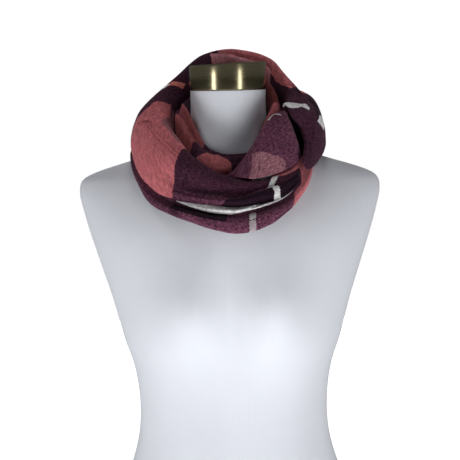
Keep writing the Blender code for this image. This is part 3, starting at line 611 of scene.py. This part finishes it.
outer_folds = ("edge", "top", "face", "crease_ab", "fold_b", "crease_bc",
               "fold_c", "crease_cd", "fold_d", "foot")
outer_sections = [
    {"angle": 55.0, "inside": 5, "edge": (85, 594.5, 63), "top": (89.5, 594.5, 59),
     "face": (95, 582.5, 59.5), "crease_ab": (101, 570.5, 65), "fold_b": (105.5, 559, 65),
     "crease_bc": (108.5, 550, 64), "fold_c": (111, 541.5, 61), "crease_cd": (114, 533.5, 57.5),
     "fold_d": (117.5, 526, 55), "foot": (119.5, 520.5, 56.5), "hem": (115, 523, 58)},
    {"angle": 66.0, "inside": 6, "edge": (80.5, 597.5, 64.5), "top": (88.5, 600.5, 59.5),
     "face": (100, 585.5, 60), "crease_ab": (106.5, 571.5, 65.5), "fold_b": (111, 560, 65.5),
     "crease_bc": (114, 551, 64.5), "fold_c": (116.5, 542.5, 61), "crease_cd": (119.5, 534, 57),
     "fold_d": (123, 525, 54), "foot": (126, 516.5, 55.5), "hem": (122, 517, 57.5)},
    {"angle": 81.0, "inside": 14, "edge": (78, 600, 86), "top": (92, 606, 83),
     "face": (106, 600), "crease_ab": (113, 591), "fold_b": (120, 580),
     "crease_bc": (124, 568), "fold_c": (126, 556), "crease_cd": (126.5, 547, 80),
     "fold_d": (126.5, 539, 79), "foot": (124.5, 532, 78), "hem": (117.5, 534.5, 78.5)},
    {"angle": 100.0, "inside": 24, "edge": (77, 604), "top": (84, 618), "face": (96, 615),
     "crease_ab": (103, 607), "fold_b": (114, 604), "crease_bc": (122, 590),
     "fold_c": (126, 574), "crease_cd": (127, 559), "fold_d": (127, 546),
     "foot": (121, 536)},
    {"angle": 118.0, "edge": (75.5, 630), "top": (81, 641), "face": (91, 631),
     "crease_ab": (101, 618), "fold_b": (111, 613), "crease_bc": (118, 600),
     "fold_c": (121, 585), "crease_cd": (121, 570), "fold_d": (120, 556),
     "foot": (114, 542)},
    {"angle": 135.0, "edge": (75, 649), "top": (81, 657), "face": (94, 643),
     "crease_ab": (103, 628), "fold_b": (112, 616), "crease_bc": (115, 604),
     "fold_c": (116, 592), "crease_cd": (114, 578), "fold_d": (115, 565),
     "foot": (110, 549)},
    {"angle": 157.0, "edge": (74, 656), "top": (82, 667), "face": (97, 651),
     "crease_ab": (103, 634), "fold_b": (110, 618), "crease_bc": (108, 604),
     "fold_c": (110, 594), "crease_cd": (107.5, 583), "fold_d": (110, 571),
     "foot": (105, 554)},
    {"angle": 180.0, "edge": (73, 659), "top": (82, 671), "face": (97, 655),
     "crease_ab": (103, 637), "fold_b": (109, 620), "crease_bc": (106, 606),
     "fold_c": (108, 597), "crease_cd": (105, 586), "fold_d": (108, 574),
     "foot": (103, 557)},
    {"angle": 205.0, "edge": (73.5, 650), "top": (83, 663), "face": (98, 647),
     "crease_ab": (104, 630), "fold_b": (110, 614), "crease_bc": (107, 600),
     "fold_c": (109, 591), "crease_cd": (106, 581), "fold_d": (109, 570),
     "foot": (105, 553)},
    {"angle": 230.0, "edge": (75, 619), "top": (87, 636), "face": (102, 624),
     "crease_ab": (110, 608), "fold_b": (116, 594), "crease_bc": (114, 581),
     "fold_c": (116, 572), "crease_cd": (115, 564), "fold_d": (117, 556),
     "foot": (114, 543)},
    {"angle": 255.0, "edge": (75, 596), "top": (94, 614), "face": (113, 600),
     "crease_ab": (121, 585), "fold_b": (125, 571), "crease_bc": (126, 561),
     "fold_c": (126, 553), "crease_cd": (124.5, 547), "fold_d": (127, 541),
     "foot": (125, 533)},
    {"angle": 275.0, "edge": (74.5, 580), "top": (98, 601), "face": (117, 588),
     "crease_ab": (125.5, 572), "fold_b": (129, 558), "crease_bc": (129.5, 549),
     "fold_c": (129, 543.5), "crease_cd": (128, 539), "fold_d": (131, 534.5),
     "foot": (129.5, 528.5)},
    {"angle": 292.0, "edge": (79, 565), "top": (104, 585), "face": (121, 569),
     "crease_ab": (127.5, 551), "fold_b": (129.5, 536), "crease_bc": (129.5, 525),
     "fold_c": (128.5, 517), "crease_cd": (126.8, 512), "fold_d": (131, 507),
     "foot": (129, 500)},
    {"angle": 308.0, "edge": (83, 555.5), "top": (103, 568), "face": (119, 549),
     "crease_ab": (124.5, 528), "fold_b": (127, 514), "crease_bc": (127.5, 503.5),
     "fold_c": (126, 496.5), "crease_cd": (123, 490.3), "fold_d": (130.5, 483.5),
     "foot": (129, 475)},
    {"angle": 322.0, "edge": (88, 541), "top": (98.5, 546), "face": (114, 530),
     "crease_ab": (119, 502), "fold_b": (122.5, 492.5), "crease_bc": (122, 484.5),
     "fold_c": (122, 479.5), "crease_cd": (119.5, 475.5), "fold_d": (129.5, 472),
     "foot": (129, 464)},
    {"angle": 338.0, "edge": (91, 521), "top": (97, 527), "face": (109, 515),
     "crease_ab": (110.5, 492.5), "fold_b": (119.5, 485), "crease_bc": (118, 476.5),
     "fold_c": (121.8, 472), "crease_cd": (117, 467), "fold_d": (131, 463),
     "foot": (129.5, 453.5)},
    {"angle": 352.0, "edge": (93, 507), "top": (97.5, 513.5), "face": (107, 506),
     "crease_ab": (109.5, 488.5), "fold_b": (120, 481.5), "crease_bc": (116.5, 473),
     "fold_c": (122.5, 468), "crease_cd": (117, 462.5), "fold_d": (131, 456),
     "foot": (129.5, 443.5)},
    {"angle": 365.0, "edge": (94, 499), "top": (98.5, 505.5), "face": (107, 500.5),
     "crease_ab": (109.5, 486), "fold_b": (120.5, 479.5), "crease_bc": (116, 471.5),
     "fold_c": (123, 467), "crease_cd": (117, 461), "fold_d": (131, 453),
     "foot": (129.5, 439.5)},
    {"angle": 380.0, "edge": (93.5, 496), "top": (97.5, 502.5), "face": (106, 502),
     "crease_ab": (111.5, 493), "fold_b": (120.5, 486.5), "crease_bc": (117, 477),
     "fold_c": (122, 472.5), "crease_cd": (118, 467.5), "fold_d": (130, 461),
     "foot": (128.5, 446)},
    {"angle": 395.0, "inside": 20, "edge": (93.5, 501.5), "top": (98, 508),
     "face": (106, 508), "crease_ab": (111.5, 501.5), "fold_b": (119.5, 494.5),
     "crease_bc": (117.5, 485.5), "fold_c": (120.5, 481), "crease_cd": (119.5, 477),
     "fold_d": (128, 472.5), "foot": (127, 463.5)},
    {"angle": 408.0, "inside": 9, "edge": (93.5, 510.5), "top": (98.5, 516),
     "face": (106, 515.5), "crease_ab": (111.5, 511), "fold_b": (116.5, 506),
     "crease_bc": (118, 500.5), "fold_c": (120.5, 497.5), "crease_cd": (122.5, 495),
     "fold_d": (126.5, 492), "foot": (126, 485), "hem": (119.5, 486.5)},
    {"angle": 420.0, "inside": 6, "edge": (93.5, 524), "top": (98, 528),
     "face": (104, 526), "crease_ab": (108, 522.5), "fold_b": (111.5, 519.5),
     "crease_bc": (114.5, 517), "fold_c": (117, 515), "crease_cd": (119.5, 513),
     "fold_d": (121.5, 510.5), "foot": (122, 505.5), "hem": (117, 506.5)},
    {"angle": 432.0, "inside": 6, "edge": (87.5, 542.5), "top": (91.5, 546),
     "face": (96.5, 545), "crease_ab": (100, 542.5), "fold_b": (103, 540),
     "crease_bc": (106, 537.5), "fold_c": (108.5, 535.5), "crease_cd": (110.5, 533.5),
     "fold_d": (112.5, 531), "foot": (112.5, 526), "hem": (108, 527)},
    {"angle": 444.0, "inside": 6, "edge": (80, 554), "top": (84, 558), "face": (89.5, 557),
     "crease_ab": (93.5, 554), "fold_b": (97.5, 551), "crease_bc": (100.5, 548.5),
     "fold_c": (103, 546.5), "crease_cd": (105.5, 544.5), "fold_d": (108, 542),
     "foot": (108, 537), "hem": (104, 538)},
]
outer_across = {"inside": 2, "wall": 2, "edge": 2, "top": 4, "face": 4, "crease_ab": 2,
                "fold_b": 2, "crease_bc": 2, "fold_c": 2, "crease_cd": 2, "fold_d": 3,
                "foot": 2}

outer_blocks = [
    {"from": 175, "to": 188.5, "low": 2.30, "high": 12.0, "yarn": "rose"},
    # The inner face at the back of the collar is painted in a lighter mauve, as painted light
    {"from": 179, "to": 197, "low": 0.0, "high": (2.38, 2.80), "yarn": "lightened dusky rose"},
    {"from": (228, 238), "to": (233.5, 243.5), "low": 2.2, "high": 3.0, "yarn": "coral"},
    {"from": 240, "to": 247, "low": 3.0, "high": 3.5, "yarn": "pale"},
    {"from": (258, 277), "to": 323, "low": 2.2, "high": 3.3, "yarn": "rose"},
    {"from": 277, "to": 310, "low": 3.2, "high": 8.9, "yarn": "rose"},
    {"from": 310, "to": 323, "low": 3.2, "high": (8.6, 7.2), "yarn": "rose"},
    # The rolled top at the left is painted in a greyed rose, as shade
    {"from": (272, 300), "to": 318, "low": 2.1, "high": 2.85, "yarn": "shaded mauve rose"},
    # A thin double stitch line of dark rose along the crease at the left
    {"from": 293, "to": 323, "low": (3.42, 3.50), "high": (3.48, 3.56), "yarn": "shade and stitch rose",
     "cover": 0.55},
    {"from": 293, "to": 323, "low": (3.62, 3.70), "high": (3.68, 3.76), "yarn": "shade and stitch rose",
     "cover": 0.55},
    # The inside wall at the left is painted in a greyed rose, as shade
    {"from": 262, "to": 316, "low": 0.0, "high": 2.1, "yarn": "shaded mauve rose"},
    {"from": 323, "to": 362, "low": 5.4, "high": 7.1, "yarn": "heather", "cover": 0.6},
    {"from": 286, "to": 323, "low": (8.9, 8.3), "high": 12.0, "yarn": "heather", "cover": 0.7},
    # Painted shade: the recessed fold and the crease under the pale band in near-black plum
    {"from": (359, 352), "to": 410, "low": 5.5, "high": 7.6, "yarn": "shaded plum"},
    {"from": 323, "to": 358, "low": 8.7, "high": 10.0, "yarn": "shaded plum"},
    {"from": 330, "to": 402, "low": 10.0, "high": 12.0, "yarn": "heather"},
    {"from": 358, "to": 402, "low": 8.7, "high": 10.0, "yarn": "heather"},
    {"from": 326, "to": 345, "low": (7.4, 7.0), "high": (7.5, 8.6), "yarn": "pale"},
    {"from": 345, "to": 361, "low": (7.0, 7.15), "high": (8.6, 8.7), "yarn": "pale"},
    {"from": 361, "to": 380, "low": (7.15, 7.5), "high": (8.7, 8.2), "yarn": "pale"},
    {"from": 380, "to": 402, "low": (7.5, 8.0), "high": (8.2, 8.1), "yarn": "pale"},
    # The rose at the front right is painted in a lighter rose, as painted light
    {"from": 391, "to": 424, "low": 2.0, "high": (4.1, 5.4), "yarn": "lightened rose"},
    {"from": (415, 409), "to": 425, "low": 4.9, "high": 9.0, "yarn": "lightened rose"},
    {"from": (403, 396), "to": 450, "low": 9.0, "high": 12.0, "yarn": "lightened rose"},
    {"from": (391, 384.5), "to": (396.5, 389.8), "low": 4.0, "high": 5.35, "yarn": "pale"},
    {"from": (388, 389), "to": (392, 393.5), "low": 5.35, "high": 8.0, "yarn": "pale"},
    {"from": (372, 370.5), "to": (376, 374.5), "low": 9.2, "high": 10.0, "yarn": "pale"},
    {"from": 370.5, "to": 374.5, "low": 10.1, "high": 11.4, "yarn": "pale", "cover": 0.4},
]
outer_creases = [
    {"from": (180, 2.40), "to": (212, 3.05), "depth": -3.6, "width": 2.2},
    {"from": (323, 5.50), "to": (366, 5.55), "depth": -2.6, "width": 2.8, "bow": -0.8},
    {"from": (356, 5.50), "to": (408, 5.75), "depth": -2.4, "width": 2.6, "bow": 0.6},
    {"from": (328, 8.95), "to": (366, 9.15), "depth": -2.0, "width": 2.4},
    {"from": (360, 9.10), "to": (402, 8.80), "depth": -1.8, "width": 2.4},
    {"from": (282, 4.25), "to": (297, 3.30), "depth": -4.2, "width": 2.3, "bow": 1.2},
    {"from": (279, 4.6), "to": (291, 4.1), "depth": -1.0, "width": 4.0, "bow": -1.5},
    {"from": (297, 6.4), "to": (318, 4.6), "depth": 0.8, "width": 7.0, "bow": 4.0},
    {"from": (304, 7.6), "to": (321, 6.2), "depth": -0.8, "width": 5.0, "bow": 2.5},
    {"from": (326, 4.55), "to": (360, 4.75), "depth": -0.8, "width": 4.5, "bow": -2.5},
    {"from": (330, 6.35), "to": (352, 6.45), "depth": -0.9, "width": 3.0, "bow": 1.0},
    {"from": (343, 5.6), "to": (372, 5.9), "depth": 0.8, "width": 3.5, "bow": -1.5},
    {"from": (366, 3.6), "to": (396, 3.9), "depth": -0.7, "width": 3.5, "bow": 1.0},
    {"from": (376, 6.3), "to": (400, 6.6), "depth": -0.9, "width": 3.0, "bow": 1.2},
    {"from": (336, 9.7), "to": (366, 10.3), "depth": -0.8, "width": 4.0, "bow": -2.0},
    {"from": (371, 10.6), "to": (396, 9.9), "depth": 0.8, "width": 4.5, "bow": 2.0},
    {"from": (196, 5.4), "to": (246, 6.3), "depth": -1.2, "width": 6.0, "bow": 5.0},
    {"from": (205, 8.4), "to": (262, 7.8), "depth": 0.9, "width": 6.0, "bow": -4.0},
    {"from": (238, 3.6), "to": (268, 4.4), "depth": -1.1, "width": 5.0, "bow": 3.0},
    {"from": (252, 9.8), "to": (292, 9.6), "depth": -0.9, "width": 4.0, "bow": 1.5},
]


def turn_in_hems(row):
    """A section with its turned-in top and hem, worked out from its own folds."""
    edge = row["edge"]
    foot = row["foot"]
    depth = row.get("inside", inner_depth)
    whole = dict(row)
    whole["wall"] = (edge[0] - wall_lean * depth / inner_depth, edge[1] - wall_share * depth,
                     *edge[2:])
    whole["inside"] = (edge[0] + depth / inner_depth, edge[1] - depth, *edge[2:])
    if "hem" not in row:
        whole["hem"] = (foot[0] - hem_turn, foot[1] + hem_rise * hem_turn, *foot[2:])
    return whole


outer_rows = [turn_in_hems(row) for row in outer_sections]
outer_names = ("inside", "wall", *outer_folds, "hem")
row_angles = [row["angle"] for row in outer_sections]
# Place of the seam, counted in rows of the table, and the share of a row left open there
seam_row = float(row_angles.index(180.0))
seam_gap = 0.001
outer_cloth = make_stretch("outer_winding", outer_rows, outer_names, outer_across,
                           outer_creases, wool("wool of the outer winding", "plum", outer_blocks),
                           finer=4, columns=270, first=seam_row + seam_gap / 2,
                           open_ends=(False, True))
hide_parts("scarf_outer_turn")

# Bulky fold of the scarf
# The same turn from the seam at the back round the wearer's left side, where the cloth
# is bunched up: it rolls forward over the shoulder and ends in a thick curled fold.
right_blocks = [
    {"from": (119, 99), "to": 182, "low": 1.7, "high": 3.1, "yarn": "rose"},
    {"from": (99, 107), "to": 182, "low": 3.1, "high": 4.2, "yarn": "rose"},
    {"from": (107, 103), "to": 182, "low": 4.2, "high": 12.0, "yarn": "rose"},
    # Painted shade: the bulky fold's lower folds at the back in near-black plum
    {"from": 118, "to": 152, "low": 8.4, "high": 12.0, "yarn": "shaded plum"},
    # The inner face at the back, behind the cap, is painted in a lighter mauve, as painted light
    {"from": 128, "to": 181, "low": 0.0, "high": (1.88, 2.42), "yarn": "lightened dusky rose"},
    # Painted shade: the bulky fold's ridge turned away from the light in near-black plum
    {"from": (90, 78), "to": (106, 92), "low": 3.4, "high": 6.05, "yarn": "shaded plum"},
    {"from": (58, 60), "to": 64, "low": 1.6, "high": 2.85, "yarn": "pale"},
    {"from": (60, 63.5), "to": (63.5, 72), "low": 2.85, "high": 3.4, "yarn": "pale"},
    {"from": (63.5, 73.5), "to": (72, 77.5), "low": 3.4, "high": 3.85, "yarn": "pale"},
    {"from": (73.5, 76), "to": 77.5, "low": 3.85, "high": 4.5, "yarn": "pale"},
    {"from": (77.5, 82.5), "to": (83, 94), "low": 6.0, "high": 7.6, "yarn": "pale"},
]
right_creases = [
    {"from": (128, 1.88), "to": (180, 2.40), "depth": -3.6, "width": 2.2},
    {"from": (64, 4.6), "to": (71, 7.6), "depth": -0.9, "width": 4.0, "bow": 2.0},
    {"from": (73, 5.4), "to": (70, 9.4), "depth": 0.9, "width": 4.5, "bow": -2.0},
    {"from": (84, 4.4), "to": (110, 3.7), "depth": -1.3, "width": 3.5, "bow": 1.5},
    {"from": (92, 7.4), "to": (126, 6.2), "depth": -1.2, "width": 5.0, "bow": 3.0},
    {"from": (100, 9.6), "to": (146, 8.6), "depth": 0.9, "width": 6.0, "bow": -4.0},
    {"from": (126, 4.3), "to": (168, 4.9), "depth": -1.1, "width": 5.5, "bow": 3.0},
]
right_cloth = make_stretch("bulky_fold", outer_rows, outer_names, outer_across,
                           right_creases, wool("wool of the bulky fold", "plum", right_blocks),
                           finer=4, columns=180, last=seam_row - seam_gap / 2,
                           open_ends=(True, False))
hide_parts("scarf_right_fold")

# Middle stretch of the scarf
# Where the loop crosses over itself: this stretch comes up out of the front, lies over
# the outer winding with a rolled rim of its own, and goes into the hollow behind the
# bulky fold.
middle_folds = ("inside", "wall", "rim", "face_high", "face_low", "hem")
middle_sections = [
    {"angle": -12.0, "inside": (78.5, 488), "wall": (79.5, 494.5), "rim": (82.5, 500.5),
     "face_high": (85.5, 500.5), "face_low": (87.5, 497), "hem": (87.5, 491.5)},
    {"angle": 0.0, "inside": (80.5, 490), "wall": (81.5, 500), "rim": (85, 511),
     "face_high": (88.5, 511), "face_low": (90, 508.5), "hem": (90, 505)},
    {"angle": 8.0, "inside": (81, 494), "wall": (81.5, 507), "rim": (86.5, 522.5),
     "face_high": (92.5, 519.5), "face_low": (97, 515), "hem": (100.5, 509)},
    {"angle": 18.0, "inside": (79.5, 501), "wall": (79, 520), "rim": (84.5, 541),
     "face_high": (92.5, 534), "face_low": (100, 520), "hem": (104, 506.5)},
    {"angle": 30.0, "inside": (77.5, 513), "wall": (76.5, 537), "rim": (82, 563),
     "face_high": (92, 554), "face_low": (102.5, 531), "hem": (106.5, 510.5)},
    {"angle": 41.0, "inside": (76, 531), "wall": (75.5, 554), "rim": (80.5, 581),
     "face_high": (91, 572), "face_low": (104, 543), "hem": (108.5, 515.5)},
    {"angle": 51.0, "inside": (75.5, 545), "wall": (76, 566), "rim": (83, 589),
     "face_high": (93, 580), "face_low": (105.5, 551), "hem": (109.5, 523)},
    {"angle": 59.0, "inside": (76, 555), "wall": (79, 572), "rim": (86, 589.5),
     "face_high": (92.5, 578), "face_low": (102.5, 553), "hem": (108, 530.5)},
    {"angle": 68.0, "inside": (75.5, 561), "wall": (77.5, 570.5), "rim": (81.5, 579),
     "face_high": (85.5, 571.5), "face_low": (91.5, 557.5), "hem": (97, 547)},
]
middle_across = {"inside": 3, "wall": 4, "rim": 4, "face_high": 4, "face_low": 4}

middle_blocks = [
    {"from": (19, 14), "to": 42, "low": (2.9, 4.6), "high": 5.1, "yarn": "blush"},
    {"from": 39.5, "to": 47, "low": (2.06, 1.85), "high": (2.22, 2.05), "yarn": "pale"},
    {"from": 46.6, "to": 50, "low": (1.85, 2.5), "high": (2.05, 2.7), "yarn": "pale"},
]
middle_creases = [
    {"from": (5, 4.35), "to": (32, 4.30), "depth": -1.0, "width": 4.0, "bow": -2.0},
    {"from": (24, 2.9), "to": (50, 3.3), "depth": 0.9, "width": 5.0, "bow": 3.0},
    {"from": (30, 4.0), "to": (56, 4.15), "depth": -1.0, "width": 5.0, "bow": -3.0},
    {"from": (40, 2.4), "to": (62, 2.8), "depth": -0.8, "width": 3.5, "bow": 1.5},
]
middle_cloth = make_stretch("middle_stretch", middle_sections, middle_folds, middle_across,
                            middle_creases,
                            wool("wool of the middle stretch", "heather", middle_blocks),
                            finer=5, columns=70)
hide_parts("scarf_middle")

# Studio
# A plain white floor that runs out of sight and lets light through from below, soft
# lights low in front at each side, three faint ones high above, one far behind for the
# back, and a tall strip at each side in front that the cap's metal mirrors.
floor_size = 60.0
floor_drop = 1 * mm
light_target = Vector((0.0, 0.0, 0.42))
studio_lights = [
    {"name": "low left light", "place": (-0.92, -0.92, -0.5), "size": (0.5, 0.4), "power": 13.9},
    {"name": "low right light", "place": (0.92, -0.92, -0.5), "size": (0.5, 0.4), "power": 6.2},
    {"name": "right front light", "place": (0.71, -0.84, 0.03), "size": (0.5, 0.35),
     "power": 3.6},
    {"name": "high left light", "place": (-1.2, 0.0, 2.4), "size": (0.6, 0.6), "power": 8.6},
    {"name": "high right light", "place": (1.2, 0.0, 2.4), "size": (0.6, 0.6), "power": 4.2},
    {"name": "high back light", "place": (0.0, 0.6, 2.6), "size": (0.6, 0.6), "power": 9.8},
    {"name": "far back light", "place": (0.0, 2.4, 0.5), "size": (1.0, 1.0), "power": 22.0},
    {"name": "left strip", "place": (-1.27, -1.41, 0.40), "size": (0.30, 0.8), "power": 2.9,
     "mirrored": True},
    {"name": "right strip", "place": (1.11, -1.53, 0.40), "size": (0.27, 0.8), "power": 2.4,
     "mirrored": True},
]
backdrop_seen = 1.05
backdrop_mirrored = 0.09
backdrop_light = 0.012
bpy.ops.mesh.primitive_plane_add(size=floor_size, location=(0.0, 0.0, -floor_drop))
floor = bpy.context.active_object
floor.name = "floor"
pale, tree, shader = start_material("pale floor")
shader.inputs["Base Color"].default_value = (0.92, 0.92, 0.92, 1.0)
shader.inputs["Roughness"].default_value = 0.8
shader.inputs["Emission Color"].default_value = (1.0, 1.0, 1.0, 1.0)
seen = add_node(tree, "LightPath").outputs["Is Camera Ray"]
tree.links.new(seen, shader.inputs["Emission Strength"])
floor.data.materials.append(pale)
floor.visible_shadow = False

for row in studio_lights:
    lamp = bpy.data.lights.new(row["name"], "AREA")
    lamp.shape = "RECTANGLE"
    lamp.size, lamp.size_y = row["size"]
    lamp.energy = row["power"]
    lamp_object = bpy.data.objects.new(row["name"], lamp)
    bpy.context.scene.collection.objects.link(lamp_object)
    lamp_object.location = row["place"]
    direction = light_target - Vector(row["place"])
    lamp_object.rotation_euler = direction.to_track_quat("-Z", "Y").to_euler()
    lamp_object.visible_glossy = row.get("mirrored", False)
world = bpy.data.worlds.new("studio")
world.use_nodes = True
bpy.context.scene.world = world
tree = world.node_tree
backdrop = tree.nodes["Background"]
backdrop.inputs["Color"].default_value = (1.0, 1.0, 1.0, 1.0)
rays = add_node(tree, "LightPath").outputs
strength = carry_over(tree, rays["Is Glossy Ray"], (0.0, 1.0), (backdrop_light, backdrop_mirrored))
strength = combine(tree, "MULTIPLY_ADD", rays["Is Camera Ray"], backdrop_seen, strength)
tree.links.new(strength, backdrop.inputs["Strength"])
bpy.context.scene.view_settings.view_transform = "Standard"

# Camera
# Where the photograph was taken from: straight in front, a little above the chest, with
# the picture turned by about a degree.
camera_distance = 2.8
camera_height = math.radians(5.0)
camera_target = Vector((0.0, 0.0, 0.432))
camera_roll = math.radians(-1.05)
focal_length = 164.7
picture_width = 460
lens = bpy.data.cameras.new("camera")
lens.lens = focal_length
lens.sensor_width = 36.0
lens.shift_x = -0.5 / picture_width
lens.clip_start = 0.1
lens.clip_end = 200.0
camera = bpy.data.objects.new("camera", lens)
bpy.context.scene.collection.objects.link(camera)
back = Vector((0.0, -math.cos(camera_height), math.sin(camera_height)))
turn = (-back).to_track_quat("-Z", "Y").to_matrix().to_4x4()
camera.matrix_world = (Matrix.Translation(camera_target + back * camera_distance) @ turn
                       @ Matrix.Rotation(camera_roll, 4, "Z"))
bpy.context.scene.camera = camera
